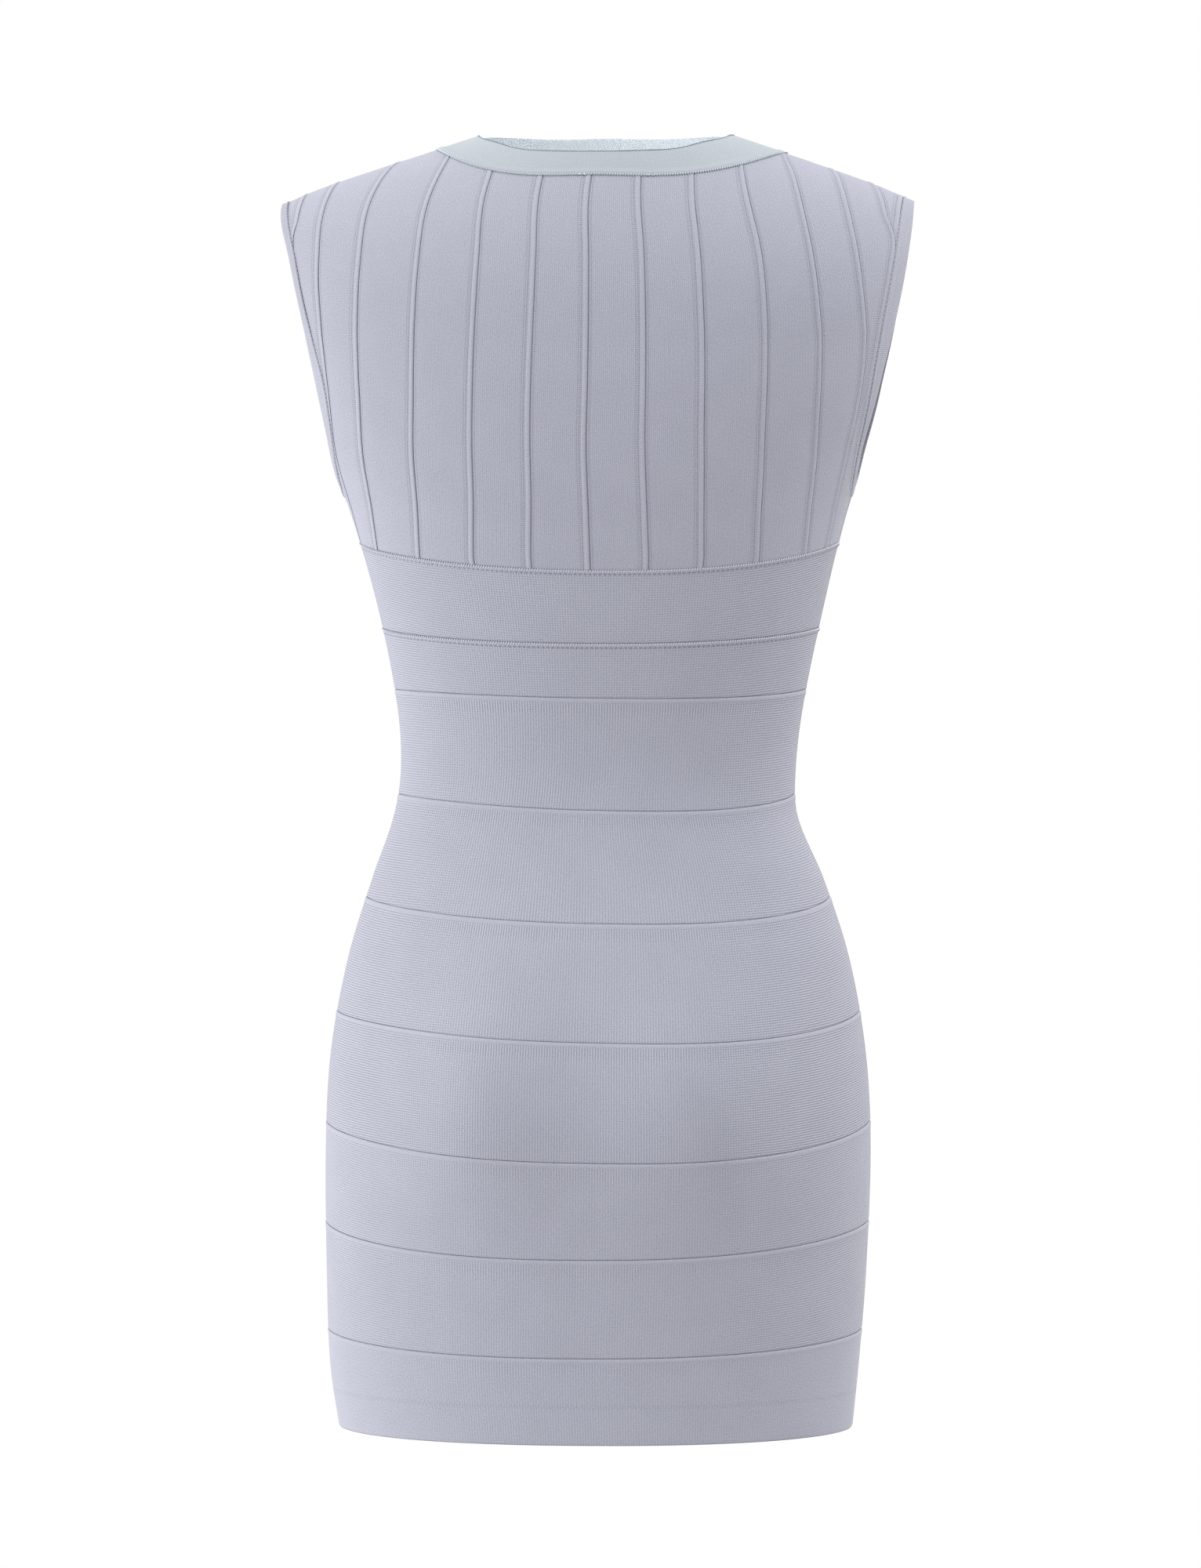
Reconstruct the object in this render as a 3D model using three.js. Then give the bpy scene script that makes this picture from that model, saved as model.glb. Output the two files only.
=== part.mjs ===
import * as THREE from 'three';

// Bandage dress, worn form, seen empty: sleeveless, boat neck, vertical bands above
// the bust and nine horizontal bands below it. Millimetres, +Z up, front toward -Y.
// The origin is on the centre line at the height of the neck end of the shoulders.

const WALL = 1.5;
const SEAM_GAP = 0.3;
const ROLLED_EDGE = { width: 3, rise: 0.6, lip: 0.35 };
const BINDING_RISE = { seam: 0.3, middle: 0.6, edge: 0.4 };
const CLOTH = { colour: 0xa8abb7, roughness: 0.85, metalness: 0 };
const BINDING = { colour: 0xc9d3de, roughness: 0.85, metalness: 0 };

// Body sections are flattened ovals. Sway is how far the section's middle lies from
// the centre line, back and front are the depths behind and before it.
const OVAL_POWER = 2.3;
const BODY_SECTIONS = [
  { height: 30, halfWidth: 209, sway: -4, back: 96, front: 84 },
  { height: 0, halfWidth: 209, sway: -4, back: 96, front: 84 },
  { height: -46, halfWidth: 209, sway: 1, back: 96, front: 84 },
  { height: -84, halfWidth: 203.5, sway: 0.2, back: 96, front: 84.5 },
  { height: -124, halfWidth: 195, sway: 0, back: 96, front: 88 },
  { height: -164, halfWidth: 185, sway: 0.5, back: 97, front: 98 },
  { height: -204, halfWidth: 171.5, sway: 1.5, back: 95, front: 113 },
  { height: -244, halfWidth: 157.3, sway: 0.3, back: 91, front: 121 },
  { height: -304, halfWidth: 141.5, sway: -1, back: 82, front: 109 },
  { height: -364, halfWidth: 129.5, sway: -0.7, back: 71, front: 96 },
  { height: -404, halfWidth: 126, sway: 0.5, back: 66, front: 92 },
  { height: -434, halfWidth: 128.8, sway: 2.2, back: 68, front: 94 },
  { height: -474, halfWidth: 144, sway: 0.8, back: 78, front: 99 },
  { height: -524, halfWidth: 159.7, sway: 0.3, back: 95, front: 104 },
  { height: -584, halfWidth: 170.5, sway: 0.5, back: 109, front: 106 },
  { height: -644, halfWidth: 173.7, sway: 0.5, back: 113, front: 105 },
  { height: -724, halfWidth: 172, sway: 1.7, back: 104, front: 101 },
  { height: -784, halfWidth: 168.5, sway: 3, back: 98, front: 98 },
  { height: -828, halfWidth: 163, sway: 2, back: 95, front: 96 },
];

// The shoulders fall from a rounded peak and drop a little more toward their tips.
// Above the foot the cloth arches over to the shoulder line: station 0 is on that line,
// 1 at the foot, and more is further down.
const SHOULDER = { peak: 30.5, fall: 0.349, rounding: 40, tipStart: 165, tipWidth: 40, tipDrop: 3 };
const YOKE_FOOT = -130;
const STATION_DROP = 236;

// Bearings are degrees round the body from the near side to the centre. Each row is a
// seam between two vertical bands, with its bearing at six stations down the yoke.
const SEAM_STATIONS = [0, 0.35, 0.75, 1.15, 1.36, 1.6];
const LEFT_SEAMS = [
  { seam: 'tip', shoulder: 29.5, top: 27.2, blade: 21, arm: 21, underarm: 21, bust: 21 },
  { seam: 'arm', shoulder: 40.3, top: 37.8, blade: 32.4, arm: 26.2, underarm: 16.5, bust: 7 },
  { seam: 'side', shoulder: 55.5, top: 51.8, blade: 46.5, arm: 40, underarm: 33.5, bust: 25 },
  { seam: 'outer', shoulder: 68, top: 65.7, blade: 61.2, arm: 56.3, underarm: 52, bust: 46 },
  { seam: 'middle', shoulder: 77, top: 75.7, blade: 73.3, arm: 70, underarm: 67.7, bust: 63.6 },
  { seam: 'inner', shoulder: 84.3, top: 84, blade: 83, arm: 81.3, underarm: 80.4, bust: 78.3 },
];
const CENTRE_SEAM = { seam: 'centre', shoulder: 90, top: 90, blade: 90, arm: 90, underarm: 90, bust: 90 };
const RIGHT_SEAMS = [
  { seam: 'tip', shoulder: 36, top: 29.4, blade: 23, arm: 23, underarm: 23, bust: 23 },
  { seam: 'arm', shoulder: 48, top: 42.9, blade: 35.2, arm: 24.6, underarm: 19.2, bust: 14 },
  { seam: 'side', shoulder: 61.5, top: 55.5, blade: 48.8, arm: 40.7, underarm: 34, bust: 28 },
  { seam: 'outer', shoulder: 68.5, top: 66.8, blade: 61, arm: 55.8, underarm: 51.8, bust: 48 },
  { seam: 'middle', shoulder: 76.8, top: 75.9, blade: 73.1, arm: 69.8, underarm: 67.2, bust: 64.8 },
  { seam: 'inner', shoulder: 84.8, top: 84.2, blade: 82.6, arm: 81.1, underarm: 79.9, bust: 78.5 },
];

// Armholes, from the shoulder line down to the underarm: bearings of the binding's
// seam and of its free edge on each side of the body. The front is cut in further by a
// scoop that is deepest half way down.
const ARMHOLE_ROWS = [
  { station: 0, edgeStation: 0, leftSeam: 20.5, leftEdge: 16.4, rightSeam: 22.8, rightEdge: 16.1 },
  { station: 0.2, edgeStation: 0.2, leftSeam: 20.7, leftEdge: 16.2, rightSeam: 22.8, rightEdge: 15.6 },
  { station: 0.4, edgeStation: 0.4, leftSeam: 21.5, leftEdge: 16.6, rightSeam: 22.9, rightEdge: 15 },
  { station: 0.6, edgeStation: 0.6, leftSeam: 22.5, leftEdge: 18.2, rightSeam: 23.1, rightEdge: 15.1 },
  { station: 0.85, edgeStation: 0.85, leftSeam: 22.9, leftEdge: 19.1, rightSeam: 23, rightEdge: 14.8 },
  { station: 1, edgeStation: 1, leftSeam: 23.8, leftEdge: 19.3, rightSeam: 22.4, rightEdge: 14.8 },
  { station: 1.13, edgeStation: 1.12, leftSeam: 24.9, leftEdge: 19, rightSeam: 20.4, rightEdge: 14.8 },
  { station: 1.26, edgeStation: 1.24, leftSeam: 21, leftEdge: 16.6, rightSeam: 15.6, rightEdge: 12 },
  { station: 1.35, edgeStation: 1.32, leftSeam: 14.5, leftEdge: 12, rightSeam: 11.5, rightEdge: 9 },
  { station: 1.41, edgeStation: 1.37, leftSeam: 7.5, leftEdge: 6, rightSeam: 6, rightEdge: 4.6 },
  { station: 1.43, edgeStation: 1.387, leftSeam: 0, leftEdge: 0, rightSeam: 0, rightEdge: 0 },
];
const FRONT_SCOOP = 3.5;
const TIP_SEAM_ENDS_AT_ROW = 3;
const TIP_STRIP_ENDS_AT_ROW = 2.85;
const CHEST_ROW = 4;

// Neckline: an oval in bearing and station round the neck, wider on the right.
const NECK_SEAM = { left: 27.5, right: 31, back: 0.528, front: 0.44 };
const NECK_EDGE = { left: 19.5, right: 19.8, back: 0.424, front: 0.305 };

// Horizontal seams from the bust to the hem: height at the sides, dip at the centre of
// the back and front, and skew, which lowers the right half and lifts the left.
const SEAM_DIP_POWER = 1.3;
const BAND_SEAMS = [
  { seam: 'bust_upper', side: -260, backDip: 20, frontDip: 12, skew: 1.2 },
  { seam: 'bust_lower', side: -314.5, backDip: 11.5, frontDip: 8, skew: 0.6 },
  { seam: 'rib', side: -353.5, backDip: 6.5, frontDip: 4, skew: 1.3 },
  { seam: 'waist', side: -420, backDip: 10.5, frontDip: 3, skew: 2.4 },
  { seam: 'high_hip', side: -485, backDip: 16.5, frontDip: 6, skew: 2.2 },
  { seam: 'hip', side: -557.5, backDip: 18, frontDip: 9, skew: 2.7 },
  { seam: 'seat', side: -627.5, backDip: 23, frontDip: 11, skew: 1.7 },
  { seam: 'thigh', side: -691, backDip: 20.5, frontDip: 10, skew: 0 },
  { seam: 'hem_upper', side: -760, backDip: 13.5, frontDip: 7, skew: 0 },
  { seam: 'hem', side: -822.5, backDip: 5.5, frontDip: 4.5, skew: 0 },
];
const TALL_BAND = 65;

// Rows across the bindings, as shares of their width from the seam to the free edge.
const NECK_BINDING_ROWS = [
  { share: 0, rise: BINDING_RISE.seam },
  { share: 0.12, rise: BINDING_RISE.middle },
  { share: 0.24, rise: BINDING_RISE.edge },
  { share: 1, rise: BINDING_RISE.edge },
];
const ARMHOLE_BINDING_ROWS = [
  { share: 0, rise: BINDING_RISE.seam },
  { share: 0.25, rise: BINDING_RISE.middle },
  { share: 0.75, rise: BINDING_RISE.middle },
  { share: 1, rise: BINDING_RISE.edge },
];

// Small steps on the cloth: for its slope in degrees, millimetres and stations, for
// passes that settle a place, for columns too close together to be kept apart, and for
// a band's edge that lies near the corner of the neck, in degrees.
const SLOPE_STEP = { turn: 0.4, drop: 1, station: 0.004 };
const SETTLING_PASSES = 16;
const SAME_BEARING = 0.1;
const CORNER_REACH = 2;
const SAME_TURN = 0.001;

const BACK = { name: 'back', sign: 1 };
const FRONT = { name: 'front', sign: -1 };

function mix(a, b, share) {
  return a + (b - a) * share;
}

// Smooth value of one column of a table, between its rows.
function columnValue(keys, values, at) {
  const last = keys.length - 1;
  const rising = keys[last] > keys[0] ? 1 : -1;
  let i = 0;
  while (i < last - 1 && (at - keys[i + 1]) * rising > 0) i += 1;
  const slope = (j) => {
    const a = Math.max(j - 1, 0);
    const b = Math.min(j + 1, last);
    return (values[b] - values[a]) / (keys[b] - keys[a]);
  };
  const step = keys[i + 1] - keys[i];
  const t = THREE.MathUtils.clamp((at - keys[i]) / step, 0, 1);
  const s = 1 - t;
  return values[i] * s * s * (1 + 2 * t) + values[i + 1] * t * t * (3 - 2 * t)
    + slope(i) * step * t * s * s - slope(i + 1) * step * t * t * s;
}

const SECTION_HEIGHTS = BODY_SECTIONS.map((row) => row.height);

function sectionValue(column, height) {
  return columnValue(SECTION_HEIGHTS, BODY_SECTIONS.map((row) => row[column]), height);
}

function ovalShare(bearing) {
  const angle = THREE.MathUtils.degToRad(bearing);
  const curve = (value) => Math.sign(value) * Math.abs(value) ** (2 / OVAL_POWER);
  return { across: curve(Math.cos(angle)), deep: curve(Math.sin(angle)) };
}

function bodyPoint(face, bearing, height, reach = 1) {
  const { across, deep } = ovalShare(bearing);
  const x = sectionValue('sway', height) + sectionValue('halfWidth', height) * across;
  const y = face.sign * sectionValue(face.name, height) * deep * reach;
  return new THREE.Vector3(x, y, height);
}

function shoulderHeight(lateral) {
  const nearTip = Math.max(Math.abs(lateral) - SHOULDER.tipStart, 0) / SHOULDER.tipWidth;
  const slope = SHOULDER.fall * Math.hypot(lateral, SHOULDER.rounding);
  return SHOULDER.peak - slope - SHOULDER.tipDrop * nearTip ** 2;
}

function yokePoint(face, bearing, station) {
  if (station >= 1) {
    return bodyPoint(face, bearing, YOKE_FOOT - (station - 1) * STATION_DROP);
  }
  const climb = (1 - station) * Math.PI / 2;
  const { across } = ovalShare(bearing);
  let height = 0;
  for (let pass = 0; pass < SETTLING_PASSES; pass += 1) {
    const lateral = sectionValue('halfWidth', height) * across;
    height = YOKE_FOOT + (shoulderHeight(lateral) - YOKE_FOOT) * Math.sin(climb);
  }
  return bodyPoint(face, bearing, height, Math.cos(climb));
}

// A place on the cloth: its point and the direction that points out of the cloth.
function placeOn(surface, face, bearing, along) {
  const { turn } = SLOPE_STEP;
  const move = surface === bodyPoint ? SLOPE_STEP.drop : SLOPE_STEP.station;
  const high = surface === yokePoint ? Math.max(along - move, 0) : along - move;
  const point = surface(face, bearing, along);
  const sideways = surface(face, bearing + turn, along).sub(surface(face, bearing - turn, along));
  const upward = surface(face, bearing, along + move).sub(surface(face, bearing, high));
  const normal = sideways.cross(upward).normalize();
  const outward = surface === yokePoint ? -face.sign : face.sign;
  return { point, normal: normal.multiplyScalar(outward) };
}

// Moves the rim of a grid of places in by half a seam gap, so that neighbours stay apart.
function insetRim(grid, closed) {
  const rows = grid.length;
  const columns = grid[0].length;
  const moves = [];
  const centre = (r, c) => grid[r][c].point;
  for (let r = 0; r < rows; r += 1) {
    for (let c = 0; c < columns; c += 1) {
      const place = grid[r][c];
      const onEnd = r === 0 || r === rows - 1;
      const onSide = !closed && (c === 0 || c === columns - 1);
      const move = new THREE.Vector3();
      if (onEnd) {
        const before = closed ? (c + columns - 1) % columns : Math.max(c - 1, 0);
        const after = closed ? (c + 1) % columns : Math.min(c + 1, columns - 1);
        const along = centre(r, after).clone().sub(centre(r, before)).normalize();
        const inward = centre(r === 0 ? 1 : rows - 2, c).clone().sub(place.point);
        const side = along.cross(place.normal).normalize();
        move.addScaledVector(side, Math.sign(side.dot(inward)) * SEAM_GAP / 2);
      }
      if (onSide) {
        const above = centre(Math.max(r - 1, 0), c);
        const below = centre(Math.min(r + 1, rows - 1), c);
        const along = below.clone().sub(above).normalize();
        const inward = centre(r, c === 0 ? 1 : columns - 2).clone().sub(place.point);
        const side = along.cross(place.normal).normalize();
        move.addScaledVector(side, Math.sign(side.dot(inward)) * SEAM_GAP / 2);
      }
      moves.push(move);
    }
  }
  grid.flat().forEach((place, i) => place.point.add(moves[i]));
}

// Joins two lines of vertices of unlike count, both going the same way round the rim.
function zipRim(outer, inner, triangles) {
  let o = 0;
  let i = 0;
  while (o < outer.length - 1 || i < inner.length - 1) {
    const nextOuter = o < outer.length - 1 ? outer[o + 1].at : Infinity;
    const nextInner = i < inner.length - 1 ? inner[i + 1].at : Infinity;
    if (nextOuter <= nextInner) {
      triangles.push([outer[o + 1].id, outer[o].id, inner[i].id]);
      o += 1;
    } else {
      triangles.push([outer[o].id, inner[i].id, inner[i + 1].id]);
      i += 1;
    }
  }
}

// A wall of cloth from a grid of places. Its outer face has every row and column, its
// plain inner face only the kept ones, and rise lifts the outer face.
function clothGeometry({ grid, keptRows, keptColumns, rise, closed = false }) {
  insetRim(grid, closed);
  const rows = grid.map((_, r) => r);
  const columns = grid[0].map((_, c) => c);
  const positions = [];
  const addVertex = (place, out) => {
    const vertex = place.point.clone().addScaledVector(place.normal, out);
    positions.push(vertex.x, vertex.y, vertex.z);
    return positions.length / 3 - 1;
  };
  const outer = rows.map((r) => columns.map((c) => addVertex(grid[r][c], rise(r, c))));
  const inner = keptRows.map((r) => keptColumns.map((c) => addVertex(grid[r][c], -WALL)));

  const triangles = [];
  const addFaces = (ids, flip) => {
    for (let r = 0; r < ids.length - 1; r += 1) {
      const count = ids[r].length;
      for (let c = 0; c < (closed ? count : count - 1); c += 1) {
        const next = (c + 1) % count;
        const corners = [ids[r][c], ids[r][next], ids[r + 1][next], ids[r + 1][c]];
        if (flip) corners.reverse();
        triangles.push([corners[0], corners[1], corners[2]], [corners[0], corners[2], corners[3]]);
      }
    }
  };
  addFaces(outer, false);
  addFaces(inner, true);

  const rowLine = (ids, kept, r) => {
    const line = ids[r].map((id, c) => ({ id, at: kept[c] }));
    if (closed) line.push({ id: ids[r][0], at: columns.length });
    return line;
  };
  const columnLine = (ids, kept, c) => ids.map((line, r) => ({ id: line[c], at: kept[r] }));
  const reversed = (line) => line.map(({ id, at }) => ({ id, at: -at })).reverse();
  const lastRow = rows.length - 1;
  const lastColumn = columns.length - 1;
  const lastKeptRow = keptRows.length - 1;
  const lastKeptColumn = keptColumns.length - 1;
  zipRim(rowLine(outer, columns, 0), rowLine(inner, keptColumns, 0), triangles);
  zipRim(
    reversed(rowLine(outer, columns, lastRow)),
    reversed(rowLine(inner, keptColumns, lastKeptRow)),
    triangles,
  );
  if (!closed) {
    zipRim(columnLine(outer, rows, lastColumn), columnLine(inner, keptRows, lastKeptColumn), triangles);
    zipRim(reversed(columnLine(outer, rows, 0)), reversed(columnLine(inner, keptRows, 0)), triangles);
  }

  const corner = (id) => new THREE.Vector3().fromArray(positions, id * 3);
  const volume = triangles.reduce(
    (sum, [a, b, c]) => sum + corner(a).dot(corner(b).cross(corner(c))),
    0,
  );
  const facingOut = volume > 0 ? triangles : triangles.map(([a, b, c]) => [a, c, b]);
  const geometry = new THREE.BufferGeometry();
  geometry.setAttribute('position', new THREE.Float32BufferAttribute(positions, 3));
  geometry.setIndex(facingOut.flat());
  geometry.computeVertexNormals();
  return geometry;
}

function clothMesh(name, geometry, finish) {
  const material = new THREE.MeshStandardMaterial({
    color: finish.colour,
    roughness: finish.roughness,
    metalness: finish.metalness,
  });
  const mesh = new THREE.Mesh(geometry, material);
  mesh.name = name;
  return mesh;
}

function bandSeamHeight(index, face, bearing) {
  const seam = BAND_SEAMS[index];
  const dip = face === BACK ? seam.backDip : seam.frontDip;
  const angle = THREE.MathUtils.degToRad(THREE.MathUtils.clamp(bearing, 0, 180));
  return seam.side - dip * Math.sin(angle) ** SEAM_DIP_POWER + seam.skew * Math.sin(2 * angle);
}

function neckStation(oval, face, bearing) {
  const reach = bearing < 90 ? oval.left : oval.right;
  const share = (bearing - 90) / reach;
  return Math.abs(share) < 1 ? oval[face.name] * Math.sqrt(1 - share * share) : 0;
}

// The seams' paths down the yoke, from one armhole through the centre to the other.
// Every path has a place on each armhole row and one at the bust seam.
const SEAM_COLUMNS = ['shoulder', 'top', 'blade', 'arm', 'underarm', 'bust'];
const BUST_SIDE_STATION = 1 + (YOKE_FOOT - BAND_SEAMS[0].side) / STATION_DROP;
const ROW_SHARES = [...ARMHOLE_ROWS.map((row) => row.station / BUST_SIDE_STATION), 1];

function seamBearing(row, mirrored, station) {
  const values = SEAM_COLUMNS.map((column) => row[column]);
  const bearing = columnValue(SEAM_STATIONS, values, station);
  return mirrored ? 180 - bearing : bearing;
}

// A seam's top, where it meets the neckline, is found by halving.
function seamPath(face, row, mirrored) {
  let above = 0;
  let below = 1;
  let bottom = BUST_SIDE_STATION;
  for (let pass = 0; pass < SETTLING_PASSES; pass += 1) {
    const middle = (above + below) / 2;
    if (neckStation(NECK_SEAM, face, seamBearing(row, mirrored, middle)) > middle) {
      above = middle;
    } else {
      below = middle;
    }
    const height = bandSeamHeight(0, face, seamBearing(row, mirrored, bottom));
    bottom = 1 + (YOKE_FOOT - height) / STATION_DROP;
  }
  return ROW_SHARES.map((share) => {
    const station = mix(above, bottom, share);
    return { bearing: seamBearing(row, mirrored, station), station };
  });
}

function frontScoop(face, station) {
  const lowest = ARMHOLE_ROWS[ARMHOLE_ROWS.length - 1].station;
  const share = Math.min(station / lowest, 1);
  return face === FRONT ? FRONT_SCOOP * Math.sin(Math.PI * share) : 0;
}

function armholePath(face, side) {
  const places = ARMHOLE_ROWS.map((row) => {
    const bearing = row[`${side}Seam`] + frontScoop(face, row.station);
    return { bearing: side === 'left' ? bearing : 180 - bearing, station: row.station };
  });
  places.push({ bearing: side === 'left' ? 0 : 180, station: BUST_SIDE_STATION });
  return places;
}

// The two seams nearest the armhole follow its scoop. The outer one joins it.
function armSeamPath(face, row, mirrored, armhole) {
  return armhole.map(({ station }) => {
    const scoop = frontScoop(face, station);
    return { bearing: seamBearing(row, mirrored, station) + (mirrored ? -scoop : scoop), station };
  });
}

function tipPath(face, row, mirrored, armhole) {
  const path = armSeamPath(face, row, mirrored, armhole);
  return armhole.map((place, i) => (i < TIP_SEAM_ENDS_AT_ROW ? path[i] : place));
}

function yokePaths(face) {
  const left = armholePath(face, 'left');
  const right = armholePath(face, 'right');
  const sidePaths = (seams, mirrored, armhole) => [
    armhole,
    tipPath(face, seams[0], mirrored, armhole),
    armSeamPath(face, seams[1], mirrored, armhole),
    ...seams.slice(2).map((row) => seamPath(face, row, mirrored)),
  ];
  return [
    ...sidePaths(LEFT_SEAMS, false, left),
    seamPath(face, CENTRE_SEAM, false),
    ...sidePaths(RIGHT_SEAMS, true, right).reverse(),
  ];
}

// Columns of one vertical band, as shares of its width: the rolled edge lies along the
// side that faces right, and a band at a neck corner has a column at that corner.
function stripColumns(face, from, to) {
  const nearSide = yokePoint(face, from[CHEST_ROW].bearing, 1);
  const width = nearSide.distanceTo(yokePoint(face, to[CHEST_ROW].bearing, 1));
  const edge = ROLLED_EDGE.width / Math.max(width, 4 * ROLLED_EDGE.width);
  const corners = [90 - NECK_SEAM.left, 90 + NECK_SEAM.right];
  const corner = corners.find((bearing) => from[0].bearing < bearing && bearing < to[0].bearing);
  if (corner === undefined) return [0, 0.5, 1 - edge, 1 - edge / 2, 1];
  const share = (corner - from[0].bearing) / (to[0].bearing - from[0].bearing);
  return [0, share, mix(share, 1 - edge, 0.5), 1 - edge, 1 - edge / 2, 1];
}

function stripPlace(face, from, to, row, share) {
  const at = (index) => {
    const bearing = mix(from[index].bearing, to[index].bearing, share);
    let station = mix(from[index].station, to[index].station, share);
    if (index === 0) station = neckStation(NECK_SEAM, face, bearing);
    if (index === ROW_SHARES.length - 1) {
      station = 1 + (YOKE_FOOT - bandSeamHeight(0, face, bearing)) / STATION_DROP;
    }
    return placeOn(yokePoint, face, bearing, station);
  };
  const lower = Math.floor(row);
  const place = at(lower);
  if (row > lower) {
    const next = at(lower + 1);
    place.point.lerp(next.point, row - lower);
  }
  return place;
}

function stripMesh(face, paths, index) {
  const from = paths[index];
  const to = paths[index + 1];
  const shares = stripColumns(face, from, to);
  const isTip = index === 0 || index === paths.length - 2;
  const rows = isTip ? [0, 1, 2, TIP_STRIP_ENDS_AT_ROW] : ROW_SHARES.map((_, i) => i);
  const grid = rows.map((row) => shares.map((share) => stripPlace(face, from, to, row, share)));
  const lastColumn = shares.length - 1;
  // The neckline bends hard next to its corner, so a band that ends there keeps all its columns.
  const endsAtCorner = Math.abs(to[0].bearing - 90 - NECK_SEAM.right) < CORNER_REACH;
  const rise = (r, c) => {
    if (isTip && r === rows.length - 1) return 0;
    if (c === lastColumn) return ROLLED_EDGE.lip;
    return c === lastColumn - 1 ? ROLLED_EDGE.rise : 0;
  };
  const geometry = clothGeometry({
    grid,
    keptRows: rows.map((_, i) => i),
    keptColumns: shares.map((_, c) => c)
      .filter((c) => endsAtCorner || c < lastColumn - 2 || c === lastColumn),
    rise,
  });
  const number = String(index + 1).padStart(2, '0');
  return clothMesh(`${face.name}_strip_${number}`, geometry, CLOTH);
}

// Horizontal bands. Their columns follow the vertical seams, with one more between
// seams that lie far apart round the body.
function bandBearings(paths) {
  const bearings = paths.map((path) => path[path.length - 1].bearing);
  const distinct = bearings.filter((bearing, i) => i === 0 || bearing - bearings[i - 1] > SAME_BEARING);
  return distinct.flatMap((bearing, i) => (i === 0
    ? [bearing]
    : [mix(distinct[i - 1], bearing, 0.5), bearing]));
}

function bandMesh(face, bearings, index) {
  const sideHeight = BAND_SEAMS[index].side - BAND_SEAMS[index + 1].side;
  const tall = sideHeight > TALL_BAND;
  const rows = [
    { share: 0, drop: 0, rise: ROLLED_EDGE.lip },
    { share: 0, drop: ROLLED_EDGE.width / 2, rise: ROLLED_EDGE.rise },
    { share: 0, drop: ROLLED_EDGE.width, rise: 0 },
    ...(tall ? [{ share: 0.5, drop: 0, rise: 0 }] : []),
    { share: 1, drop: 0, rise: 0 },
  ];
  const grid = rows.map(({ share, drop }) => bearings.map((bearing) => {
    const top = bandSeamHeight(index, face, bearing);
    const bottom = bandSeamHeight(index + 1, face, bearing);
    return placeOn(bodyPoint, face, bearing, mix(top, bottom, share) - drop);
  }));
  const geometry = clothGeometry({
    grid,
    keptRows: tall ? [0, 3, 4] : [0, 3],
    keptColumns: bearings.map((_, c) => c),
    rise: (r) => rows[r].rise,
  });
  return clothMesh(`band_${index + 1}_${face.name}`, geometry, CLOTH);
}

// Neck binding: a folded band round the neckline, over the tops of the vertical bands.
function neckTurns(face, paths) {
  const turns = [];
  for (let index = 0; index < paths.length - 1; index += 1) {
    const from = paths[index];
    const to = paths[index + 1];
    stripColumns(face, from, to).forEach((share) => {
      const bearing = mix(from[0].bearing, to[0].bearing, share);
      const reach = bearing < 90 ? NECK_SEAM.left : NECK_SEAM.right;
      const turn = Math.acos(THREE.MathUtils.clamp((90 - bearing) / reach, -1, 1));
      const before = turns.length === 0 ? 0 : turns[turns.length - 1];
      if (turn - before > SAME_TURN && Math.PI - turn > SAME_TURN) turns.push(turn);
    });
  }
  return turns;
}

function neckPlace(face, turn, share) {
  const across = Math.cos(turn);
  const side = across > 0 ? 'left' : 'right';
  const reach = mix(NECK_SEAM[side], NECK_EDGE[side], share);
  const drop = mix(NECK_SEAM[face.name], NECK_EDGE[face.name], share);
  return placeOn(yokePoint, face, 90 - reach * across, drop * Math.sin(turn));
}

function neckBinding(backPaths, frontPaths) {
  const rows = NECK_BINDING_ROWS;
  const stops = [
    { face: BACK, turn: 0 },
    ...neckTurns(BACK, backPaths).map((turn) => ({ face: BACK, turn })),
    { face: BACK, turn: Math.PI },
    ...neckTurns(FRONT, frontPaths).reverse().map((turn) => ({ face: FRONT, turn })),
  ];
  const grid = rows.map(({ share }) => stops.map(({ face, turn }) => neckPlace(face, turn, share)));
  const geometry = clothGeometry({
    grid,
    keptRows: [0, rows.length - 1],
    keptColumns: stops.map((_, c) => c),
    rise: (r) => rows[r].rise,
    closed: true,
  });
  return clothMesh('neck_binding', geometry, BINDING);
}

function armholeBinding(side) {
  const rows = ARMHOLE_BINDING_ROWS;
  const last = ARMHOLE_ROWS.length - 1;
  const stops = [
    ...ARMHOLE_ROWS.map((row) => ({ face: BACK, row })),
    ...ARMHOLE_ROWS.slice(1, last).reverse().map((row) => ({ face: FRONT, row })),
  ];
  const grid = rows.map(({ share }) => stops.map(({ face, row }) => {
    const own = mix(row[`${side}Seam`], row[`${side}Edge`], share);
    const bearing = own + frontScoop(face, row.station);
    const station = mix(row.station, row.edgeStation, share);
    return placeOn(yokePoint, face, side === 'left' ? bearing : 180 - bearing, station);
  }));
  const geometry = clothGeometry({
    grid,
    keptRows: [0, rows.length - 1],
    keptColumns: stops.map((_, c) => c),
    rise: (r) => rows[r].rise,
    closed: true,
  });
  return clothMesh(`armhole_binding_${side}`, geometry, BINDING);
}

const dress = new THREE.Group();
const pathsOf = new Map([BACK, FRONT].map((face) => [face, yokePaths(face)]));

pathsOf.forEach((paths, face) => {
  for (let index = 0; index < paths.length - 1; index += 1) {
    dress.add(stripMesh(face, paths, index));
  }
  const bearings = bandBearings(paths);
  for (let index = 0; index < BAND_SEAMS.length - 1; index += 1) {
    dress.add(bandMesh(face, bearings, index));
  }
});
dress.add(neckBinding(pathsOf.get(BACK), pathsOf.get(FRONT)));
dress.add(armholeBinding('left'), armholeBinding('right'));

export default dress;
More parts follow.
